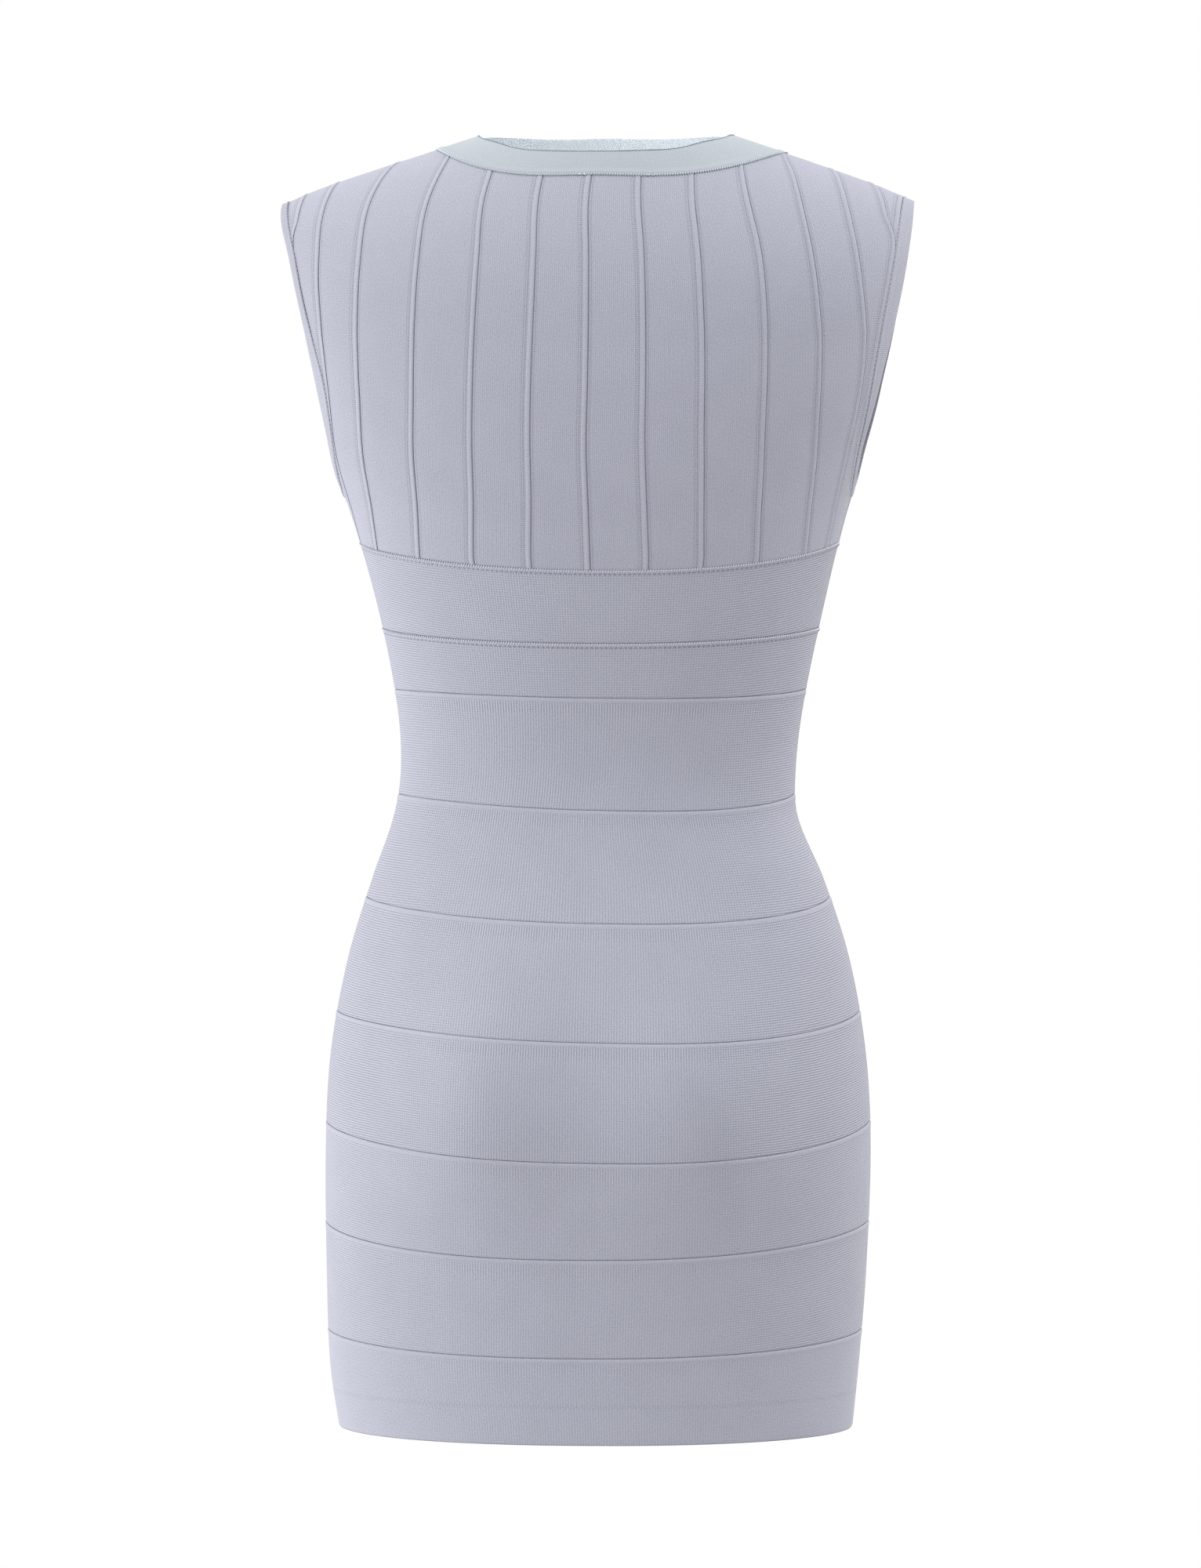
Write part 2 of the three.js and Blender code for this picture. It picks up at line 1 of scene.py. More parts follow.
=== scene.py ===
import math

import bmesh
import bpy
from mathutils import Matrix, Vector


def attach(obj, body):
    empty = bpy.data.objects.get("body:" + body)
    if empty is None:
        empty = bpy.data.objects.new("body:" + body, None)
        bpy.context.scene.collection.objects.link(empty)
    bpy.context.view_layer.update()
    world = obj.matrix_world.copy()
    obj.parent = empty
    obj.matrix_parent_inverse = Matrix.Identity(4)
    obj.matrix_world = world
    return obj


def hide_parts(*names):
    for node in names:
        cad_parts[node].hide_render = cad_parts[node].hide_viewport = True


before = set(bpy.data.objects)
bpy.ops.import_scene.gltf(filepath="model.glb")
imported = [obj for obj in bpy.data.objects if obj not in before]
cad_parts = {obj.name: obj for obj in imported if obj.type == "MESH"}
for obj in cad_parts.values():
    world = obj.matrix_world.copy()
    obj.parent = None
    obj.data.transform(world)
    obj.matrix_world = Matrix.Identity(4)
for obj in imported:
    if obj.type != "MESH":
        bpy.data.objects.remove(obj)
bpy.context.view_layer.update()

# Camera. It stands about 5 m behind the dress at the height of the waist, turned
# slightly toward the wearer's right. The frame is 1532 by 2000 pixels of 0.5 mm.
MM = 0.001
CAMERA_DISTANCE = 5.0
CAMERA_HEIGHT = -0.414
CAMERA_TURN = math.radians(-4)
CAMERA_ASIDE = 0.001
FRAME_HEIGHT = 1.0
SENSOR_HEIGHT = 24

camera_data = bpy.data.cameras.new("camera")
camera_data.sensor_fit = "VERTICAL"
camera_data.sensor_height = SENSOR_HEIGHT
camera_data.lens = SENSOR_HEIGHT * CAMERA_DISTANCE / FRAME_HEIGHT
camera = bpy.data.objects.new("camera", camera_data)
bpy.context.scene.collection.objects.link(camera)
back_direction = Vector((math.sin(CAMERA_TURN), math.cos(CAMERA_TURN), 0))
image_right = Vector((-back_direction.y, back_direction.x, 0))
camera.location = back_direction * CAMERA_DISTANCE + image_right * CAMERA_ASIDE
camera.location.z = CAMERA_HEIGHT
camera.rotation_euler = (math.radians(90), 0, math.atan2(-back_direction.x, back_direction.y) + math.pi)
bpy.context.scene.camera = camera

# Studio: a white room gives an even light. A large soft panel stands far round to the left,
# a weaker warm one behind on the right and one high above the camera. The floor is pale.
WORLD_LIGHT = 1.0
PANEL_SIZE = 2.4
PANELS = (
    # name, place in metres, watts, colour
    ("left_panel", (3.92, 0.78, -0.3), 212, (1.0, 0.99, 0.975)),
    ("right_panel", (-3.70, -1.35, 1.0), 48, (1.0, 0.95, 0.85)),
    ("high_panel", (-1.5, 0.9, 3.4), 180, (1.0, 1.0, 1.0)),
)
FLOOR_HEIGHT = -1.25
FLOOR_RADIUS = 2.3
FLOOR_SIDES = 96


def linear(hex_colour):
    """Turns an sRGB hex colour to the linear one that a shader takes."""
    channels = [int(hex_colour[i:i + 2], 16) / 255 for i in (1, 3, 5)]
    curve = [c / 12.92 if c <= 0.04045 else ((c + 0.055) / 1.055) ** 2.4 for c in channels]
    return (*curve, 1)


bpy.context.scene.view_settings.view_transform = "Standard"
world = bpy.data.worlds.new("white_room")
world.use_nodes = True
world.node_tree.nodes["Background"].inputs["Color"].default_value = (1, 1, 1, 1)
world.node_tree.nodes["Background"].inputs["Strength"].default_value = WORLD_LIGHT
bpy.context.scene.world = world

for panel_name, panel_place, panel_watts, panel_colour in PANELS:
    panel_data = bpy.data.lights.new(panel_name, "AREA")
    panel_data.size = PANEL_SIZE
    panel_data.energy = panel_watts
    panel_data.color = panel_colour
    panel = bpy.data.objects.new(panel_name, panel_data)
    bpy.context.scene.collection.objects.link(panel)
    panel.location = panel_place
    toward_dress = Vector((0, 0, CAMERA_HEIGHT)) - Vector(panel_place)
    panel.rotation_euler = toward_dress.to_track_quat("-Z", "Y").to_euler()

floor_bm = bmesh.new()
bmesh.ops.create_circle(floor_bm, cap_ends=True, segments=FLOOR_SIDES, radius=FLOOR_RADIUS)
bmesh.ops.translate(floor_bm, vec=(0, 0, FLOOR_HEIGHT), verts=floor_bm.verts)
floor_mesh = bpy.data.meshes.new("floor")
floor_bm.to_mesh(floor_mesh)
floor_bm.free()
floor = bpy.data.objects.new("floor", floor_mesh)
bpy.context.scene.collection.objects.link(floor)
# Matt white paint: it throws a soft, even light back up at the dress.
floor_paint = bpy.data.materials.new("matt_white_paint")
floor_paint.use_nodes = True
floor_shader = floor_paint.node_tree.nodes["Principled BSDF"]
floor_shader.inputs["Base Color"].default_value = linear("#dadada")
floor_shader.inputs["Roughness"].default_value = 0.9
floor_mesh.materials.append(floor_paint)

# Vertical bands of the yoke. Each is a strip of dense bandage knit about 36 mm wide,
# with one rolled edge, sewn edge to edge with its neighbours from bust to shoulder.
OVAL_POWER = 2.3
BODY_COLUMNS = ("height", "half_width", "sway", "back", "front")
BODY_SECTIONS = (
    (30, 209, -4, 96, 84),
    (0, 209, -4, 96, 84),
    (-46, 209, 1, 96, 84),
    (-84, 203.5, 0.2, 96, 84.5),
    (-124, 195, 0, 96, 88),
    (-164, 185, 0.5, 97, 98),
    (-204, 171.5, 1.5, 95, 113),
    (-244, 157.3, 0.3, 91, 121),
    (-304, 141.5, -1, 82, 109),
    (-364, 129.5, -0.7, 71, 96),
    (-404, 126, 0.5, 66, 92),
    (-434, 128.8, 2.2, 68, 94),
    (-474, 144, 0.8, 78, 99),
    (-524, 159.7, 0.3, 95, 104),
    (-584, 170.5, 0.5, 109, 106),
    (-644, 173.7, 0.5, 113, 105),
    (-724, 172, 1.7, 104, 101),
    (-784, 168.5, 3, 98, 98),
    (-828, 163, 2, 95, 96),
)
SHOULDER_PEAK, SHOULDER_FALL, SHOULDER_ROUNDING = 30.5, 0.349, 40
TIP_START, TIP_WIDTH, TIP_DROP = 165, 40, 3
YOKE_FOOT = -130
STATION_DROP = 236
WALL = 1.5
SEAM_GAP = 0.3

SEAM_STATIONS = (0, 0.35, 0.75, 1.15, 1.36, 1.6)
LEFT_SEAMS = {
    "tip": (29.5, 27.2, 21, 21, 21, 21),
    "arm": (40.3, 37.8, 32.4, 26.2, 16.5, 7),
    "side": (55.5, 51.8, 46.5, 40, 33.5, 25),
    "outer": (68, 65.7, 61.2, 56.3, 52, 46),
    "middle": (77, 75.7, 73.3, 70, 67.7, 63.6),
    "inner": (84.3, 84, 83, 81.3, 80.4, 78.3),
}
RIGHT_SEAMS = {
    "tip": (36, 29.4, 23, 23, 23, 23),
    "arm": (48, 42.9, 35.2, 24.6, 19.2, 14),
    "side": (61.5, 55.5, 48.8, 40.7, 34, 28),
    "outer": (68.5, 66.8, 61, 55.8, 51.8, 48),
    "middle": (76.8, 75.9, 73.1, 69.8, 67.2, 64.8),
    "inner": (84.8, 84.2, 82.6, 81.1, 79.9, 78.5),
}
ARMHOLE_STATIONS = (0, 0.2, 0.4, 0.6, 0.85, 1, 1.13, 1.26, 1.35, 1.41, 1.43)
ARMHOLE_SEAM = {
    "left": (20.5, 20.7, 21.5, 22.5, 22.9, 23.8, 24.9, 21, 14.5, 7.5, 0),
    "right": (22.8, 22.8, 22.9, 23.1, 23, 22.4, 20.4, 15.6, 11.5, 6, 0),
}
TIP_SEAM_MERGES = (0.4, 0.6)
FRONT_SCOOP = 3.5
BUST_SEAM_SIDE = -260
BUST_STATION = 1 + (YOKE_FOOT - BUST_SEAM_SIDE) / STATION_DROP
NECK_SEAM = {"left": 27.5, "right": 31, "back": 0.528, "front": 0.44}
SIGN = {"back": 1, "front": -1}
SETTLING_PASSES = 16
HEIGHT_PASSES = 8


def mix(a, b, share):
    return a + (b - a) * share


def smooth_step(start, end, at):
    share = min(max((at - start) / (end - start), 0), 1)
    return share * share * (3 - 2 * share)


def column_value(keys, values, at):
    """Reads a smooth curve through the values, each given at its key."""
    last = len(keys) - 1
    rising = 1 if keys[last] > keys[0] else -1
    i = 0
    while i < last - 1 and (at - keys[i + 1]) * rising > 0:
        i += 1

    def slope(j):
        a, b = max(j - 1, 0), min(j + 1, last)
        return (values[b] - values[a]) / (keys[b] - keys[a])

    step = keys[i + 1] - keys[i]
    t = min(max((at - keys[i]) / step, 0), 1)
    s = 1 - t
    ends = values[i] * s * s * (1 + 2 * t) + values[i + 1] * t * t * (3 - 2 * t)
    return ends + slope(i) * step * t * s * s - slope(i + 1) * step * t * t * s


SECTION_VALUES = dict(zip(BODY_COLUMNS, zip(*BODY_SECTIONS)))


def section_value(column, height):
    return column_value(SECTION_VALUES["height"], SECTION_VALUES[column], height)


def oval(bearing):
    angle = math.radians(bearing)
    shares = (math.cos(angle), math.sin(angle))
    return tuple(math.copysign(abs(value) ** (2 / OVAL_POWER), value) for value in shares)


# The cloth lies a little fuller over each side of the seat: place across, height, and spreads.
SEAT_FULLNESS = 11
SEAT_ASIDE, SEAT_HEIGHT = 75, -608
SEAT_SPREAD_ACROSS, SEAT_SPREAD_UP = 38, 48


def seat_fullness(x, height):
    up = ((height - SEAT_HEIGHT) / SEAT_SPREAD_UP) ** 2
    return sum(SEAT_FULLNESS * math.exp(-0.5 * (((x - side) / SEAT_SPREAD_ACROSS) ** 2 + up))
               for side in (SEAT_ASIDE, -SEAT_ASIDE))


def body_point(face, bearing, height, reach=1.0):
    across, deep = oval(bearing)
    x = section_value("sway", height) + section_value("half_width", height) * across
    y = SIGN[face] * section_value(face, height) * deep * reach
    if face == "back" and height < YOKE_FOOT:
        y += seat_fullness(x, height) * min(deep * 2, 1)
    return Vector((x, y, height))


def shoulder_height(lateral):
    near_tip = max(abs(lateral) - TIP_START, 0) / TIP_WIDTH
    slope = SHOULDER_FALL * math.hypot(lateral, SHOULDER_ROUNDING)
    return SHOULDER_PEAK - slope - TIP_DROP * near_tip**2


def yoke_point(face, bearing, station):
    """A point on the form. Station 0 is the shoulder line and 1 the foot of the rounded yoke."""
    if station >= 1:
        return body_point(face, bearing, YOKE_FOOT - (station - 1) * STATION_DROP)
    climb = (1 - station) * math.pi / 2
    across = oval(bearing)[0]
    height = 0
    for _ in range(HEIGHT_PASSES):
        lateral = section_value("half_width", height) * across
        height = YOKE_FOOT + (shoulder_height(lateral) - YOKE_FOOT) * math.sin(climb)
    return body_point(face, bearing, height, math.cos(climb))


def seam_bearing(side, seam, station):
    table = LEFT_SEAMS if side == "left" else RIGHT_SEAMS
    bearing = column_value(SEAM_STATIONS, table[seam], station)
    return bearing if side == "left" else 180 - bearing


def front_scoop(face, side, station):
    share = min(station / ARMHOLE_STATIONS[-1], 1)
    scoop = FRONT_SCOOP * math.sin(math.pi * share) if face == "front" else 0
    return scoop if side == "left" else -scoop


def armhole_bearing(face, side, station):
    if station >= ARMHOLE_STATIONS[-1]:
        return 0 if side == "left" else 180
    bearing = max(column_value(ARMHOLE_STATIONS, ARMHOLE_SEAM[side], station), 0)
    return (bearing if side == "left" else 180 - bearing) + front_scoop(face, side, station)


def neck_station(neckline, face, bearing):
    reach = neckline["left"] if bearing < 90 else neckline["right"]
    share = (bearing - 90) / reach
    return neckline[face] * math.sqrt(1 - share * share) if abs(share) < 1 else 0


BAND_SEAM_POWER = 1.3
BAND_SEAMS = (
    ("bust_upper", -260, 20, 12, 1.2),
    ("bust_lower", -314.5, 11.5, 8, 0.6),
    ("rib", -353.5, 6.5, 4, 1.3),
    ("waist", -420, 10.5, 3, 2.4),
    ("high_hip", -485, 16.5, 6, 2.2),
    ("hip", -557.5, 18, 9, 2.7),
    ("seat", -627.5, 23, 11, 1.7),
    ("thigh", -691, 20.5, 10, 0),
    ("hem_upper", -760, 13.5, 7, 0),
    ("hem", -822.5, 5.5, 4.5, 0),
)


def band_seam_height(index, face, bearing):
    _, side, back_dip, front_dip, skew = BAND_SEAMS[index]
    dip = back_dip if face == "back" else front_dip
    angle = math.radians(min(max(bearing, 0), 180))
    return side - dip * math.sin(angle) ** BAND_SEAM_POWER + skew * math.sin(2 * angle)


def bust_station(face, bearing):
    return 1 + (YOKE_FOOT - band_seam_height(0, face, bearing)) / STATION_DROP


def seam_ends(face, side, seam):
    """Stations where a seam meets the neckline, found by halving, and the bust seam."""
    above, below = 0, 1
    bottom = BUST_STATION
    for _ in range(SETTLING_PASSES):
        middle = (above + below) / 2
        if neck_station(NECK_SEAM, face, seam_bearing(side, seam, middle)) > middle:
            above = middle
        else:
            below = middle
        bottom = bust_station(face, seam_bearing(side, seam, bottom))
    return above, bottom


def yoke_path(face, side, seam):
    """Gives the path's bearing and station for a share of the way from its top to the bust seam."""
    if seam == "armhole":
        return lambda share: (armhole_bearing(face, side, share * BUST_STATION), share * BUST_STATION)
    if seam in ("tip", "arm"):
        def near_armhole(share):
            station = share * BUST_STATION
            merged = smooth_step(*TIP_SEAM_MERGES, station) if seam == "tip" else 0
            own = seam_bearing(side, seam, station) + front_scoop(face, side, station)
            return mix(own, armhole_bearing(face, side, station), merged), station
        return near_armhole
    if seam == "centre":
        top = neck_station(NECK_SEAM, face, 90)
        return lambda share: (90, mix(top, bust_station(face, 90), share))
    top, bottom = seam_ends(face, side, seam)

    def path(share):
        station = mix(top, bottom, share)
        return seam_bearing(side, seam, station), station
    return path


def yoke_paths(face):
    order = ("armhole", "tip", "arm", "side", "outer", "middle", "inner")
    left = [yoke_path(face, "left", seam) for seam in order]
    right = [yoke_path(face, "right", seam) for seam in order]
    return left + [yoke_path(face, "left", "centre")] + right[::-1]


# The profile of a band across its width, in millimetres from the rolled edge and from
# the plain edge: a smooth roll with a stitch groove beside it, and a plain edge turned in
# and sewn under the next band's roll.
ROLL_STOPS = (0.04, 0.35, 0.8, 1.4, 2.1, 2.7, 3.2, 4, 5.5)
STEEP_ROLL = (-0.45, 0.1, 0.34, 0.4, 0.36, 0.25, 0.05, 0, 0)
GENTLE_ROLL = (-0.45, -0.05, 0.2, 0.32, 0.33, 0.27, 0.2, 0.1, 0)
PLAIN_STOPS = (-0.25, 0.04, 0.35, 0.9, 1.8)
PLAIN_HEIGHTS = (-0.6, -0.5, -0.15, -0.03, 0)
NARROWEST_FULL_PROFILE = 12


def profile_height(roll, from_roll, from_plain):
    rolled = column_value(ROLL_STOPS, roll, from_roll) if from_roll < ROLL_STOPS[-1] else 0
    plain = column_value(PLAIN_STOPS, PLAIN_HEIGHTS, from_plain) if from_plain < PLAIN_STOPS[-1] else 0
    return min(rolled, plain) if min(rolled, plain) < 0 else max(rolled, plain)


def width_stops(width, inner):
    """Distances from the plain edge to the rolled edge, close together near both."""
    squeeze = min(width / NARROWEST_FULL_PROFILE, 1)
    start = [stop * squeeze for stop in PLAIN_STOPS]
    end = [width - stop * squeeze for stop in reversed(ROLL_STOPS)]
    middle = [mix(start[-1], end[0], (i + 1) / (inner + 1)) for i in range(inner)]
    return start + middle + end, squeeze


def new_piece(name, bm, material, node):
    mesh = bpy.data.meshes.new(name)
    bm.to_mesh(mesh)
    bm.free()
    mesh.materials.append(material)
    mesh.polygons.foreach_set("use_smooth", [True] * len(mesh.polygons))
    piece = bpy.data.objects.new(name, mesh)
    bpy.context.scene.collection.objects.link(piece)
    if node:
        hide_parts(node)
    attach(piece, "root")
    return piece


# Points above this height face away from it, and lower ones away from the middle line.
INSIDE_HEIGHT_MM = -130
SAME_PLACE_MM = 0.02


def cloth_grid(columns, rows, place, closed=False):
    """A grid laid on the form, its face outward and then raised along its own normals.

    place(column, row) gives a point, its rise, and its distances round, down, from the
    rolled edge and from the plain edge.
    """
    bm = bmesh.new()
    bmesh.ops.create_grid(bm, x_segments=columns, y_segments=rows, size=0.5)
    knit = bm.loops.layers.uv.new("knit")
    edges = bm.loops.layers.uv.new("edges")
    rises = bm.verts.layers.float.new("rise")
    sizes = {}
    for vertex in bm.verts:
        column = round((vertex.co.x + 0.5) * columns)
        row = round((0.5 - vertex.co.y) * rows)
        point, rise, *distances = place(column, row)
        sizes[vertex] = [distance * MM for distance in distances]
        vertex[rises] = rise * MM
        vertex.co = point * MM
    for polygon in bm.faces:
        for loop in polygon.loops:
            loop[knit].uv = sizes[loop.vert][:2]
            loop[edges].uv = sizes[loop.vert][2:]
    if closed:
        bmesh.ops.remove_doubles(bm, verts=bm.verts, dist=SAME_PLACE_MM * MM)
    bm.normal_update()
    outward = 0
    for polygon in bm.faces:
        middle = polygon.calc_center_median()
        inside = Vector((0, 0, min(middle.z, INSIDE_HEIGHT_MM * MM)))
        outward += polygon.normal.dot(middle - inside) * polygon.calc_area()
    if outward < 0:
        bmesh.ops.reverse_faces(bm, faces=bm.faces)
        bm.normal_update()
    for vertex in bm.verts:
        vertex.co += vertex.normal * vertex[rises]
    return bm


def give_wall(piece):
    wall = piece.modifiers.new("wall", "SOLIDIFY")
    wall.thickness = WALL * MM
    wall.offset = -1
    return wall


def add_node(tree, kind, inputs=(), **settings):
    """Adds one node, sets its settings, and sets or links its inputs, listed in order or by name."""
    node = tree.nodes.new(kind)
    for key, value in settings.items():
        setattr(node, key, value)
    named = inputs if isinstance(inputs, dict) else dict(enumerate(inputs))
    for key, value in named.items():
        source = value.outputs[0] if isinstance(value, bpy.types.Node) else value
        if isinstance(source, bpy.types.NodeSocket):
            tree.links.new(source, node.inputs[key])
        else:
            node.inputs[key].default_value = source
    return node


# A course of the knit is 1.5 mm, and a wale 1.7 mm, or 1.25 mm in the vertical bands.
COURSE_MM, WALE_MM, STRIP_WALE_MM = 1.5, 1.7, 1.25
# The ribs are deepest round the flanks, in relief and in painted shade, where light grazes the cloth and
# its courses show more than its wales.
FLANK_START_MM, FLANK_FULL_MM = 70, 140
ROLL_START_MM, ROLL_END_MM = 2.16, 3.24
MARKED_REACH_MM, MARKED_DEPTH = 4.5, 0.8
EYELET_PITCH_MM, EYELET_REACH_MM = 1.4, 0.9
TOPSTITCH_REACH_MM = 0.8
ZIGZAG_REACH_MM, ZIGZAG_TONE, ZIGZAG_RISE = 0.9, 0.08, 3.0
# Painted shade darkens the cloth beside every seam: full within the first distance of an edge, gone by the
# second, in mm.
SEAM_SHADE_FULL_MM, SEAM_SHADE_CLEAR_MM = 0.1, 0.5
LINE_CORE = 0.3
# The fuzz of the yarn is drawn about 0.9 mm across, coarser than the real one, so that it shows.
FUZZ_PER_METRE, CLOUD_PER_METRE = 1100.0, 40.0
FUZZ_RISE = 0.5
RELIEF_MM, RELIEF_STRENGTH = 0.22, 0.6
# How far each feature moves the cloth's tone between its shade at 0 and its colour at 1.
PLAIN_TONE, RIB_SHADE_TONE, FUZZ_TONE, CLOUD_TONE = 0.6, 0.22, 0.55, 0.08
ROLL_HIGHLIGHT_TONE, EYELET_SHADE_TONE, SEAM_SHADE_TONE = 0.04, -0.34, 0.25


def near_line(tree, distance, at, reach, strength):
    """Full strength where the distance is close to a line, fading to nothing at the reach, in mm."""
    beside = add_node(tree, "ShaderNodeMath", (distance, at * MM), operation="SUBTRACT")
    away = add_node(tree, "ShaderNodeMath", (beside,), operation="ABSOLUTE")
    fade = (away, reach * LINE_CORE * MM, reach * MM, strength, 0.0)
    return add_node(tree, "ShaderNodeMapRange", fade)


def wave(tree, along, pitch):
    """A cosine along a distance, with one turn for each pitch in mm."""
    angle = add_node(tree, "ShaderNodeMath", (along, math.tau / (pitch * MM)), operation="MULTIPLY")
    return add_node(tree, "ShaderNodeMath", (angle,), operation="COSINE")


def knit_material(name, colour, shade, pitches, courses, wales,
                  eyelets=(), marked=None, topstitch=None, zigzag=None):
    """Dense knit with courses across and wales along it.

    courses and wales are depths in the middle of the dress and on its flanks. eyelets are
    columns of small holes: which edge, its distance and strength. marked is a strip of
    deeper wales below a seam, topstitch a row of thread dashes: distance, pitch, strength.
    zigzag is a row of thread above a plain edge: distance, pitch, half its height.
    """
    material = bpy.data.materials.new(name)
    material.use_nodes = True
    tree = material.node_tree
    shader = tree.nodes["Principled BSDF"]
    shader.inputs["Roughness"].default_value = 0.85
    shader.inputs["Specular IOR Level"].default_value = 0.2
    shader.inputs["Sheen Weight"].default_value = 0.12
    shader.inputs["Sheen Roughness"].default_value = 0.5

    knit = add_node(tree, "ShaderNodeUVMap", uv_map="knit")
    around, down, _ = add_node(tree, "ShaderNodeSeparateXYZ", (knit,)).outputs
    edges = add_node(tree, "ShaderNodeUVMap", uv_map="edges")
    from_roll, from_plain, _ = add_node(tree, "ShaderNodeSeparateXYZ", (edges,)).outputs
    place = add_node(tree, "ShaderNodeTexCoord").outputs["Object"]
    across = add_node(tree, "ShaderNodeSeparateXYZ", (place,)).outputs[0]
    aside = add_node(tree, "ShaderNodeMath", (across,), operation="ABSOLUTE")
    flank = (aside, FLANK_START_MM * MM, FLANK_FULL_MM * MM)
    course_depth = add_node(tree, "ShaderNodeMapRange", (*flank, *courses))
    wale_depth = add_node(tree, "ShaderNodeMapRange", (*flank, *wales))
    if marked:
        strip = near_line(tree, from_roll, marked, MARKED_REACH_MM, MARKED_DEPTH)
        deeper = add_node(tree, "ShaderNodeMath", (strip, 1.0), operation="ADD")
        wale_depth = add_node(tree, "ShaderNodeMath", (wale_depth, deeper), operation="MULTIPLY")

    course_wave = wave(tree, down, pitches[0])
    wale_wave = wave(tree, around, pitches[1])
    course = add_node(tree, "ShaderNodeMath", (course_wave, course_depth), operation="MULTIPLY")
    wale = add_node(tree, "ShaderNodeMath", (wale_wave, wale_depth), operation="MULTIPLY")
    ribs = add_node(tree, "ShaderNodeMath", (course, wale), operation="ADD")
    roll = (from_roll, ROLL_START_MM * MM, ROLL_END_MM * MM, 1.0, 0.0)
    smooth_roll = add_node(tree, "ShaderNodeMapRange", roll)
    off_roll = add_node(tree, "ShaderNodeMath", (1.0, smooth_roll), operation="SUBTRACT")
    rib = add_node(tree, "ShaderNodeMath", (ribs, off_roll), operation="MULTIPLY")
    clouds = {"Vector": knit, "Scale": CLOUD_PER_METRE, "Detail": 2.0}
    cloud = add_node(tree, "ShaderNodeTexNoise", clouds)
    fuzz = {"Vector": knit, "Scale": FUZZ_PER_METRE, "Detail": 1.0}
    yarn = add_node(tree, "ShaderNodeMath", (add_node(tree, "ShaderNodeTexNoise", fuzz), 0.5),
                    operation="SUBTRACT")

    # Painted shade: the ribs darken the cloth in their valleys and lighten it on their crests.
    tone = add_node(tree, "ShaderNodeMath", (rib, RIB_SHADE_TONE, PLAIN_TONE), operation="MULTIPLY_ADD")
    tone = add_node(tree, "ShaderNodeMath", (yarn, FUZZ_TONE, tone), operation="MULTIPLY_ADD")
    haze = add_node(tree, "ShaderNodeMath", (cloud, CLOUD_TONE, -CLOUD_TONE / 2), operation="MULTIPLY_ADD")
    tone = add_node(tree, "ShaderNodeMath", (tone, haze), operation="ADD")
    # Painted highlight: the smooth rolled edge is lightened a little, where it catches the light.
    tone = add_node(tree, "ShaderNodeMath", (smooth_roll, ROLL_HIGHLIGHT_TONE, tone), operation="MULTIPLY_ADD")
    height = add_node(tree, "ShaderNodeMath", (yarn, FUZZ_RISE, rib), operation="MULTIPLY_ADD")

    if eyelets:
        hole = 0.0
        for edge, at, strength in eyelets:
            distance = from_roll if edge == "roll" else from_plain
            column = near_line(tree, distance, at, EYELET_REACH_MM, strength)
            hole = add_node(tree, "ShaderNodeMath", (hole, column), operation="MAXIMUM")
        eyelet_wave = wave(tree, down, EYELET_PITCH_MM)
        rows = add_node(tree, "ShaderNodeMath", (eyelet_wave, 0.5, 0.5), operation="MULTIPLY_ADD")
        hole = add_node(tree, "ShaderNodeMath", (hole, rows), operation="MULTIPLY")
        # Painted shade: each eyelet is darkened for the shade inside the hole, and sunk in the relief.
        tone = add_node(tree, "ShaderNodeMath", (hole, EYELET_SHADE_TONE, tone), operation="MULTIPLY_ADD")
        height = add_node(tree, "ShaderNodeMath", (height, hole), operation="SUBTRACT")
    if topstitch:
        at, pitch, strength = topstitch
        dash = add_node(tree, "ShaderNodeMapRange", (wave(tree, around, pitch), -0.2, 0.3, 0.25, 1.0))
        line = near_line(tree, from_roll, at, TOPSTITCH_REACH_MM, strength)
        dashes = add_node(tree, "ShaderNodeMath", (line, dash), operation="MULTIPLY")
        tone = add_node(tree, "ShaderNodeMath", (tone, dashes), operation="SUBTRACT")
        height = add_node(tree, "ShaderNodeMath", (height, dashes), operation="SUBTRACT")
    if zigzag:
        at, pitch, swing = zigzag
        swung = (wave(tree, around, pitch), swing * MM, from_plain)
        shifted = add_node(tree, "ShaderNodeMath", swung, operation="MULTIPLY_ADD")
        line = near_line(tree, shifted, at, ZIGZAG_REACH_MM, ZIGZAG_TONE)
        tone = add_node(tree, "ShaderNodeMath", (tone, line), operation="SUBTRACT")
        height = add_node(tree, "ShaderNodeMath", (line, ZIGZAG_RISE, height), operation="MULTIPLY_ADD")

    # Painted shade: the cloth is darkened along both its edges, where shade falls into the seam between
    # bands.
    nearest = add_node(tree, "ShaderNodeMath", (from_roll, from_plain), operation="MINIMUM")
    seam_shade_fade = (nearest, SEAM_SHADE_FULL_MM * MM, SEAM_SHADE_CLEAR_MM * MM, SEAM_SHADE_TONE, 0.0)
    painted_seam_shade = add_node(tree, "ShaderNodeMapRange", seam_shade_fade)
    tone = add_node(tree, "ShaderNodeMath", (tone, painted_seam_shade), operation="SUBTRACT")
    ramp = add_node(tree, "ShaderNodeValToRGB", (tone,))
    ramp.color_ramp.elements[0].color = linear(shade)
    ramp.color_ramp.elements[1].color = linear(colour)
    tree.links.new(ramp.outputs[0], shader.inputs["Base Color"])

    relief = {"Height": height, "Distance": RELIEF_MM * MM, "Strength": RELIEF_STRENGTH}
    bump = add_node(tree, "ShaderNodeBump", relief)
    tree.links.new(bump.outputs[0], shader.inputs["Normal"])
    return material


